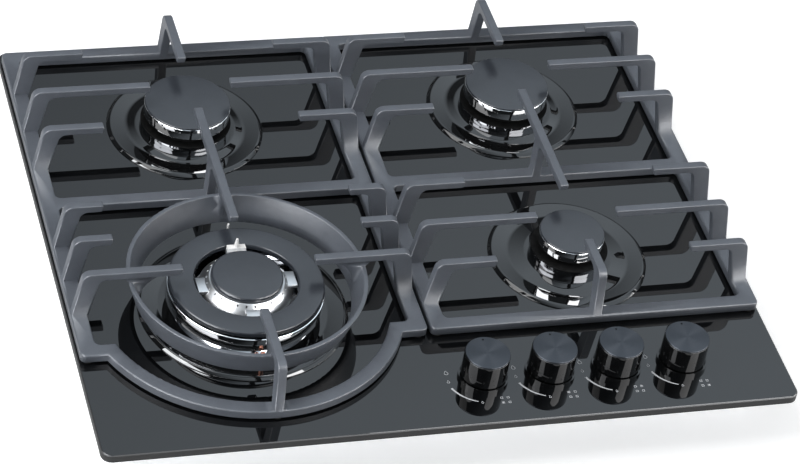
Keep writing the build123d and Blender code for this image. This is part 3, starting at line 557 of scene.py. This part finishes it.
# ---------------------------------------------------------------- burners
LID_THICK, LID_ROUND, LID_UNDER_ROUND = 1.5, 0.75, 0.3
SPIGOT_STEP, SPIGOT_DEPTH = 9.8, 2.9
BAND_LIP, BAND_HEIGHT, BAND_SKIRT, BAND_ROUND = 0.3, 9.7, 0.9, 0.5
DRUM_STEP, DRUM_WALL, DRUM_GAP = 6.1, 3.5, 0.2
PORTS, PORT_WIDTH, PORT_HEIGHT = 24, 2.2, 4
SHEET = 1.3
BOWL_FLAT, BOWL_RIM, BOWL_RISE = 17.2, 2.7, 1.8
BOWL_LAP, BOWL_LIP = 1, 0.6
BOWL_HUB, HUB_WIDTH = 2.1, 4.5
COLLAR_FOOT, COLLAR_SKIN, COLLAR_GAP = 0.4, 0.15, 0.3
# Depth, lift and round of the collar's top face, which is painted near-black as shade.
SHADE_PAINT_DEPTH, SHADE_PAINT_PROUD, SHADE_PAINT_ROUND = 0.8, 0.05, 0.7
SMALL_CUP_RISE = 2.4
CUP_SEEN = GLASS + 2 * MM


def make_bowl(burner, collar, hub):
    """Drip bowl: a hub round the collar, a valley and a rim that rolls over on to the glass."""
    node = f"{burner}_bowl"
    outer = wide(node) / MM
    mesh = lathe(node, middle(node), [
        (collar - BOWL_LAP, 0), (collar - BOWL_LAP, SHEET + hub, 0.4),
        (collar + HUB_WIDTH, SHEET + hub, 8), (outer - BOWL_FLAT, SHEET, 12),
        (outer - BOWL_RIM, SHEET + BOWL_RISE, 2.6), (outer, SHEET - BOWL_LIP, 0.5), (outer, 0)])
    dress(f"{node}_dish", mesh, BASE, "bowl_enamel", node)


def make_collar(burner, centre, collar, top, bore):
    """Polished wall of the cup over the bowl, and its top face under the flames painted
    near-black as shade.
    """
    radius, seam = collar + COLLAR_SKIN, top - SHADE_PAINT_DEPTH
    mesh = lathe(f"{burner}_collar", centre, [
        (bore, COLLAR_FOOT), (radius, COLLAR_FOOT), (radius, seam), (bore, seam)])
    dress(f"{burner}_collar", mesh, BASE, "cup_aluminium")
    mesh = lathe(f"{burner}_collar_top", centre, [
        (bore, seam), (radius, seam), (radius, top + SHADE_PAINT_PROUD, SHADE_PAINT_ROUND),
        (bore, top + SHADE_PAINT_PROUD)])
    put(f"{burner}_collar_top", mesh, BLACK_PIP_AND_PAINTED_SHADE, BASE)


def make_lid(burner, centre, cap):
    """Flat lid with a spigot that drops into the crown."""
    top = above_glass(high(f"{burner}_cap"))
    under = top - LID_THICK
    spigot, tip = cap - SPIGOT_STEP, under - SPIGOT_DEPTH
    mesh = lathe(f"{burner}_lid", centre, [
        (0, top), (cap, top, LID_ROUND), (cap, under, LID_UNDER_ROUND), (spigot, under),
        (spigot, tip), (0, tip)])
    dress(f"{burner}_lid", mesh, f"{burner}_cap", "cap_enamel", f"{burner}_cap")


def make_crown(burner, centre, cap, foot):
    """Chromed band over a drum with its ring of ports, the drum painted near-black as the shade
    in its recess.
    """
    head = above_glass(high(f"{burner}_crown"))
    neck, band, drum = head - BAND_HEIGHT, cap + BAND_LIP, cap - DRUM_STEP
    bore, skirt = drum - DRUM_WALL, neck - BAND_SKIRT
    mesh = lathe(f"{burner}_band", centre, [
        (bore, neck), (drum + DRUM_GAP, neck), (drum + DRUM_GAP, skirt),
        (band, skirt, BAND_ROUND), (band, head, BAND_ROUND), (bore, head)])
    dress(f"{burner}_band", mesh, BASE, "crown_chrome", f"{burner}_crown")
    mesh = lathe(f"{burner}_drum", centre, [
        (bore, foot), (drum, foot), (drum, neck), (bore, neck)], 4 * PORTS)
    mesh = cut_round(f"{burner}_drum", mesh, centre, BLACK_PIP_AND_PAINTED_SHADE, PORTS, 4, drum - DRUM_WALL / 2,
                     2 * DRUM_WALL, PORT_WIDTH, PORT_HEIGHT, foot + PORT_HEIGHT)
    put(f"{burner}_drum", mesh, BLACK_PIP_AND_PAINTED_SHADE, BASE)


for burner in BURNERS:
    centre = middle(f"{burner}_cap")
    cap = wide(f"{burner}_cap") / MM
    make_lid(burner, centre, cap)
    collar = radius_above(f"{burner}_cup", CUP_SEEN) / MM
    make_bowl(burner, collar, BOWL_HUB)
    foot = above_glass(low(f"{burner}_crown"))
    rise = SMALL_CUP_RISE if burner == "front_right" else 0
    make_collar(burner, centre, collar, foot + rise, cap - DRUM_STEP + COLLAR_GAP)
    make_crown(burner, centre, cap, foot)
    node = f"{burner}_cup"
    dress(f"{node}_shown", from_node(node, node), BASE, "cup_aluminium", node)


# ---------------------------------------------------------------- wok burner
WOK_BASE = radius_above("wok_cup", CUP_SEEN) / MM
RING_BORE = 43.5
WOK_WALL, WOK_BAND_ROUND = 2.5, 1.0
SLOTS, SLOT_HEIGHT, TOOTH_ROOT = 36, 1.5, 0.2
INNER_FOOT, INNER_HEAD, INNER_BORE = 39.5, 31.5, 26
INNER_LIP, INNER_HEIGHT, INNER_PORTS, INNER_PORT = 1.5, 11, 28, 0.8
LUGS, LUG_BACK, LUG_REACH, LUG_WIDTH = 4, 31, 42, 17.5
LUG_LOW, LUG_HIGH, LUG_ROUND = 4, 7.5, 0.5
INNER_LID_HEIGHT, INNER_SPIGOT = 4.3, 27.7

make_bowl("wok", WOK_BASE, 0.0)
for node, slot in (("wok_cup", "cup_aluminium"), ("wok_inner_electrode", "white_ceramic")):
    dress(f"{node}_shown", from_node(node, node), BASE, slot, node)


def make_outer_crown():
    """Open channel with a broad chromed band and a slotted rim of teeth, the teeth painted
    near-black as the shade under the ring lid.
    """
    bottom = above_glass(low("wok_outer_crown"))
    top = above_glass(high("wok_outer_crown"))
    rim, band = top - SLOT_HEIGHT, wide("wok_outer_crown") / MM
    bore, inside, outside = RING_BORE + BAND_LIP, RING_BORE + WOK_WALL, WOK_BASE + WOK_WALL
    mesh = lathe("wok_outer_band", WOK, [
        (bore, bottom), (band, bottom, WOK_BAND_ROUND), (band, rim, WOK_BAND_ROUND),
        (outside, rim), (WOK_BASE, rim), (WOK_BASE, bottom + WOK_WALL),
        (inside, bottom + WOK_WALL), (inside, rim), (bore, rim)])
    dress("wok_outer_band", mesh, BASE, "crown_chrome", "wok_outer_crown")
    root = rim - TOOTH_ROOT
    mesh = lathe("wok_outer_teeth", WOK, [
        (WOK_BASE, root), (outside, root), (outside, top), (WOK_BASE, top)], 3 * SLOTS)
    mesh = cut_round("wok_outer_teeth", mesh, WOK, BLACK_PIP_AND_PAINTED_SHADE, SLOTS, 4, WOK_BASE + WOK_WALL / 2,
                     2 * WOK_WALL, PORT_WIDTH, SLOT_HEIGHT, top)
    put("wok_outer_teeth", mesh, BLACK_PIP_AND_PAINTED_SHADE, BASE)


def make_inner_crown():
    """Cast cone with round ports, and the lugs that carry the ring lid."""
    seat = above_glass(low("wok_inner_crown"))
    head, floor, bore = seat + INNER_HEIGHT, seat + 2 * INNER_LIP, INNER_HEAD - DRUM_WALL
    mesh = lathe("wok_inner_cone", WOK, [
        (INNER_BORE, seat), (INNER_FOOT, seat, 0.4), (INNER_FOOT, seat + INNER_LIP, 1.2),
        (INNER_HEAD, head, 0.6), (bore, head), (bore, floor), (INNER_BORE, floor)],
        6 * INNER_PORTS)
    mesh = cut_round("wok_inner_cone", mesh, WOK, CAST_ALUMINIUM, INNER_PORTS, 14,
                     (INNER_FOOT + INNER_HEAD) / 2, 4 * DRUM_WALL, 1.41 * INNER_PORT,
                     1.41 * INNER_PORT, seat + LUG_HIGH + 2 * INNER_PORT)
    dress("wok_inner_cone", mesh, BASE, "crown_aluminium", "wok_inner_crown")
    back, reach, half = LUG_BACK * MM, LUG_REACH * MM, LUG_WIDTH / 2 * MM
    lug = bmesh.new()
    slab(lug, [(back, -half), (reach, -half), (reach, half), (back, half)],
         GLASS + (seat + LUG_LOW) * MM, GLASS + (seat + LUG_HIGH) * MM)
    bmesh.ops.bevel(lug, geom=lug.edges[:], offset=LUG_ROUND * MM, segments=3, affect="EDGES",
                    profile=0.5)
    mesh = ROUND.make("wok_lugs", finished("wok_lugs", lug, 50), Count=LUGS, CentreX=WOK[0],
                      CentreY=WOK[1], Finish=CAST_ALUMINIUM)
    dress("wok_lugs", mesh, BASE, "crown_aluminium")


def make_wok_lids():
    """Ring lid over the outer flames and round lid over the inner ones."""
    outer = wide("wok_ring_cap") / MM
    bottom, top = above_glass(low("wok_ring_cap")), above_glass(high("wok_ring_cap"))
    mesh = lathe("wok_ring_lid", WOK, [
        (RING_BORE, bottom, 0.3), (outer, bottom, 0.8), (outer, top, 1.9), (RING_BORE, top, 1.2)])
    dress("wok_ring_lid", mesh, "wok_ring_cap", "cap_enamel", "wok_ring_cap")
    outer = wide("wok_inner_cap") / MM
    bottom, top = above_glass(low("wok_inner_cap")), above_glass(high("wok_inner_cap"))
    under = top - INNER_LID_HEIGHT
    mesh = lathe("wok_inner_lid", WOK, [
        (0, top), (outer, top, 2.2), (outer, under, 0.6), (INNER_SPIGOT, under),
        (INNER_SPIGOT, bottom), (0, bottom)])
    dress("wok_inner_lid", mesh, "wok_inner_cap", "cap_enamel", "wok_inner_cap")


make_outer_crown()
make_inner_crown()
make_wok_lids()


# ---------------------------------------------------------------- knobs and their springs
GRIP_TAPER, DISC_THICK = 0.4, 1.5
PIP_RADIUS, PIP_REACH, PIP_SIDES = 0.9 * MM, 15.5 * MM, 20
PIP_SINK, PIP_PROUD = 0.1, 0.03
COIL_TURNS, COIL_STEPS, WIRE_STEPS = 6, 26, 10
WIRE = 0.55 * MM


def make_knob(name):
    """Gloss grip with a spun disc let into its top and a dark pip that points."""
    knob, centre = f"{name}_knob", middle(f"{name}_knob")
    radius, disc = wide(knob) / MM, wide(f"{knob}_face") / MM
    bottom, top = above_glass(low(knob)), above_glass(high(knob))
    face = top + DISC_THICK
    mesh = lathe(f"{name}_grip", centre, [
        (0, bottom), (radius, bottom, 0.4), (radius - GRIP_TAPER, top, 0.3), (0, top)])
    dress(f"{name}_grip", mesh, knob, "knob_black", knob)
    mesh = lathe(f"{name}_disc", centre, [(0, top), (disc, top), (disc, face, 0.35), (0, face)])
    dress(f"{name}_disc", mesh, knob, "knob_face_metal", f"{knob}_face")
    outline = []
    for i in range(PIP_SIDES):
        turn = TURN * i / PIP_SIDES
        outline.append((centre[0] + PIP_RADIUS * math.cos(turn),
                        centre[1] + PIP_REACH + PIP_RADIUS * math.sin(turn)))
    pip = bmesh.new()
    slab(pip, outline, GLASS + (face - PIP_SINK) * MM, GLASS + (face + PIP_PROUD) * MM)
    put(f"{name}_pip", finished(f"{name}_pip", pip), BLACK_PIP_AND_PAINTED_SHADE, knob)


def coil(name, centre, bottom, top, radius):
    """Spring of round wire with closed ends."""
    shape = bmesh.new()
    steps = COIL_TURNS * COIL_STEPS
    rings = []
    for i in range(steps + 1):
        turn = TURN * i / COIL_STEPS
        level = bottom + WIRE + (top - bottom - 2 * WIRE) * i / steps
        ring = []
        for k in range(WIRE_STEPS):
            around = TURN * k / WIRE_STEPS
            reach = radius + WIRE * math.cos(around)
            ring.append(shape.verts.new((centre[0] + reach * math.cos(turn),
                                         centre[1] + reach * math.sin(turn),
                                         level + WIRE * math.sin(around))))
        rings.append(ring)
    for lower, upper in zip(rings, rings[1:]):
        for k in range(WIRE_STEPS):
            n = (k + 1) % WIRE_STEPS
            shape.faces.new((lower[k], upper[k], upper[n], lower[n]))
    shape.faces.new(rings[0])
    shape.faces.new(rings[-1][::-1])
    return finished(name, shape, 50)


def make_spring(name):
    """Return spring of the knob: a coil of round wire carried with its plug, on a mesh of its
    own.
    """
    node = f"{name}_spring"
    bottom, top = low(node), high(node)
    mesh = coil(f"{name}_coil", middle(node), bottom, top, wide(node) - WIRE)
    piece = dress(f"{name}_coil", mesh, f"{name}_plug", "screw_steel", node)
    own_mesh(piece)


for name in CONTROLS:
    make_knob(name)
for name in CONTROLS:
    make_spring(name)


# ---------------------------------------------------------------- printed marks beside the knobs
PRINT_LOW, PRINT_HIGH = GLASS - 0.02 * MM, GLASS + 0.03 * MM
FLAMES = ((-29.7, 8, 5.0), (-30.5, -2.5, 3.6), (-8.5, -29, 3.0))
FLAME_LINE, FLAME_STEPS = 0.5 * MM, 28
ARC_TURNS, ARC_RADII, ARC_WIDTHS = (199, 247), (31.5, 30), (1.8, 0.9)
ARC_STEPS = 40
SQUARES = ((-1, 1), (1, 1), (-1, -1), (1, -1))
SQUARES_PLACE, SQUARES_STEP = (11.5, -28.5), 2.75
SQUARE_SIZE, SQUARE_LINE, FILLED_SIZE = 2.2 * MM, 0.4 * MM, 1.7 * MM
FILLED = (2, 0, 1, 3)


def printed(mesh, outline):
    """Add one thin printed patch on the glass."""
    slab(mesh, outline, PRINT_LOW, PRINT_HIGH)


def patch(mesh, x, y, across, up):
    """Printed patch with square corners round a point."""
    printed(mesh, [(x - across / 2, y - up / 2), (x + across / 2, y - up / 2),
                   (x + across / 2, y + up / 2), (x - across / 2, y + up / 2)])


def drop_line(x, y, size):
    """Outline of a drop that stands on its round end."""
    points = []
    for i in range(FLAME_STEPS):
        turn = TURN * i / FLAME_STEPS
        girth = math.sin(turn) * math.sin(turn / 2) ** 1.5
        points.append((x + 0.5 * size * girth, y + 0.5 * size * math.cos(turn)))
    return points


def flame(mesh, x, y, size):
    """Flame sign: the outline of a drop, open inside."""
    outer = drop_line(x, y, size)
    inner = drop_line(x, y - 0.25 * FLAME_LINE, size - 2.2 * FLAME_LINE)
    for i in range(FLAME_STEPS):
        k = (i + 1) % FLAME_STEPS
        printed(mesh, [outer[i], outer[k], inner[k], inner[i]])


def arc_mark(mesh, centre):
    """Arc that narrows from its first end to its last."""
    outer, inner = [], []
    for i in range(ARC_STEPS + 1):
        share = i / ARC_STEPS
        turn, radius, width = (first + (last - first) * share
                               for first, last in (ARC_TURNS, ARC_RADII, ARC_WIDTHS))
        c, s = math.cos(math.radians(turn)), math.sin(math.radians(turn))
        for reach, line in ((radius + width / 2, outer), (radius - width / 2, inner)):
            line.append((centre[0] + reach * MM * c, centre[1] + reach * MM * s))
    printed(mesh, outer + inner[::-1])


def square_place(centre, side, up):
    """Middle of one of the four squares that show which burner a knob serves."""
    return (centre[0] + (SQUARES_PLACE[0] + SQUARES_STEP * side) * MM,
            centre[1] + (SQUARES_PLACE[1] + SQUARES_STEP * up) * MM)


def open_square(mesh, x, y):
    """Small square drawn as an outline."""
    size, line = SQUARE_SIZE, SQUARE_LINE
    edge, side = size / 2 - line / 2, size - 2 * line
    for dx, dy, across, up in ((0, edge, size, line), (0, -edge, size, line),
                               (edge, 0, line, side), (-edge, 0, line, side)):
        patch(mesh, x + dx, y + dy, across, up)


first, second = middle(f"{CONTROLS[0]}_knob"), middle(f"{CONTROLS[1]}_knob")
marks = bmesh.new()
for x, y, size in FLAMES[:2]:
    flame(marks, first[0] + x * MM, first[1] + y * MM, size * MM)
arc_mark(marks, first)
x, y, size = FLAMES[2]
flame(marks, first[0] + x * MM, first[1] + y * MM, size * MM)
for side, up in SQUARES:
    open_square(marks, *square_place(first, side, up))
mesh = ROW.make("knob_marks", finished("knob_marks", marks), Count=len(CONTROLS),
                Pitch=second[0] - first[0], Finish=PRINT)
put("knob_marks", mesh, PRINT, BASE)

chosen = bmesh.new()
for name, square in zip(CONTROLS, FILLED):
    x, y = square_place(middle(f"{name}_knob"), *SQUARES[square])
    patch(chosen, x, y, FILLED_SIZE, FILLED_SIZE)
put("burner_marks", finished("burner_marks", chosen), PRINT, BASE)


# ---------------------------------------------------------------- floor, lamps and sky
FLOOR_REACH, FLOOR_TONE, FLOOR_ROUGH = 12.0, 0.9, 0.9
FLOOR_LIFT = 0.4
FLOOR_GAP = 0.3 * MM
SWEEP_SLOPE = (2.4, 0.0, 6.0)
SWEEP_START = -3.28
SWEEP_RANGE = (0.1, 1.8)
SWEEP_COLOUR = (0.81, 0.91, 1.0)
SKY_COLOUR, SKY_LIGHT = (0.96, 0.98, 1.0), 0.5


def make_floor():
    """Pale floor: plain white, lifted for the camera so that only the shadow stays."""
    mesh = bpy.data.meshes.new("floor")
    corners = [(FLOOR_REACH * x, FLOOR_REACH * y, 0)
               for x, y in ((-1, -1), (1, -1), (1, 1), (-1, 1))]
    mesh.from_pydata(corners, [], [(0, 1, 2, 3)])
    floor = bpy.data.objects.new("floor", mesh)
    bpy.context.scene.collection.objects.link(floor)
    floor.location.z = -FLOOR_GAP
    material = bpy.data.materials.new("pale_floor")
    material.use_nodes = True
    tree = material.node_tree
    shader = tree.nodes["Principled BSDF"]
    shader.inputs["Base Color"].default_value = (FLOOR_TONE, FLOOR_TONE, FLOOR_TONE, 1)
    shader.inputs["Roughness"].default_value = FLOOR_ROUGH
    shader.inputs["Specular IOR Level"].default_value = 0.0
    shader.inputs["Emission Color"].default_value = (1, 1, 1, 1)
    rays = add_node(tree, "ShaderNodeLightPath")
    lift = add_node(tree, "ShaderNodeMath", {0: rays.outputs["Is Camera Ray"]},
                    operation="MULTIPLY")
    lift.inputs[1].default_value = FLOOR_LIFT
    tree.links.new(lift.outputs[0], shader.inputs["Emission Strength"])
    mesh.materials.append(material)


def lamp(name, turn, elevation, distance, size, radiance, colour=(1, 1, 1), soft=True):
    """Area lamp that faces the cooktop, placed by its direction and the light that it shows.

    A lamp that is not soft is a bright panel for gloss only: it lights no matt surface.
    """
    light = bpy.data.lights.new(name, "AREA")
    light.shape = "RECTANGLE"
    light.size, light.size_y = size
    light.energy = radiance * math.pi * size[0] * size[1]
    light.color = colour
    stand = bpy.data.objects.new(name, light)
    bpy.context.scene.collection.objects.link(stand)
    turn, elevation = math.radians(turn), math.radians(elevation)
    flat = math.cos(elevation)
    aim = Vector((flat * math.cos(turn), flat * math.sin(turn), math.sin(elevation)))
    stand.location = Vector((0, 0, GLASS)) + aim * distance
    stand.rotation_euler = (-aim).to_track_quat("-Z", "Y").to_euler()
    stand.visible_diffuse = soft
    stand.visible_camera = False


def make_sky():
    """Sky: white to the camera, a soft sweep in gloss, plain light on everything matt."""
    world = bpy.data.worlds.new("studio")
    bpy.context.scene.world = world
    world.use_nodes = True
    world.cycles.sampling_method = "NONE"
    tree = world.node_tree
    rays = add_node(tree, "ShaderNodeLightPath")

    def sky(strength, colour):
        return add_node(tree, "ShaderNodeBackground", Color=(*colour, 1), Strength=strength)

    def choose(flag, no, yes):
        return add_node(tree, "ShaderNodeMixShader",
                        {"Fac": rays.outputs[flag], 1: no.outputs[0], 2: yes.outputs[0]})

    direction = add_node(tree, "ShaderNodeTexCoord").outputs["Generated"]
    along = add_node(tree, "ShaderNodeVectorMath", {0: direction}, operation="DOT_PRODUCT")
    along.inputs[1].default_value = SWEEP_SLOPE
    level = add_node(tree, "ShaderNodeMath", {0: along.outputs["Value"]}, operation="ADD")
    level.inputs[1].default_value = SWEEP_START
    kept = add_node(tree, "ShaderNodeClamp", {"Value": level.outputs[0]}, Min=SWEEP_RANGE[0],
                    Max=SWEEP_RANGE[1])
    sweep = sky(1.0, SWEEP_COLOUR)
    tree.links.new(kept.outputs[0], sweep.inputs["Strength"])
    plain = choose("Is Diffuse Ray", sweep, sky(SKY_LIGHT, SKY_COLOUR))
    white = choose("Is Camera Ray", plain, sky(1.0, (1, 1, 1)))
    tree.links.new(white.outputs[0], tree.nodes["World Output"].inputs["Surface"])


make_floor()
make_sky()
lamp("key_lamp", 175, 60, 2.4, (1.5, 1.5), 4.2)
lamp("left_panel", 199, 35.5, 2.0, (1.4, 0.6), 18, (0.95, 0.97, 1.0), False)
lamp("right_panel", 304, 35, 2.0, (1.05, 0.6), 18, (1.0, 0.99, 0.99), False)
lamp("left_low_panel", 222, 12, 1.9, (1.5, 0.5), 15, (0.96, 0.97, 1.0), False)
lamp("right_low_panel", 332, 12, 1.9, (1.5, 0.5), 15, (1.0, 0.99, 0.99), False)
lamp("left_fill", 205, 14, 2.1, (1.7, 0.6), 6, (0.94, 0.97, 1.0))
lamp("right_fill", 337, 14, 2.1, (1.7, 0.6), 4, (1.0, 0.99, 0.98))
bpy.context.scene.view_settings.view_transform = "Standard"
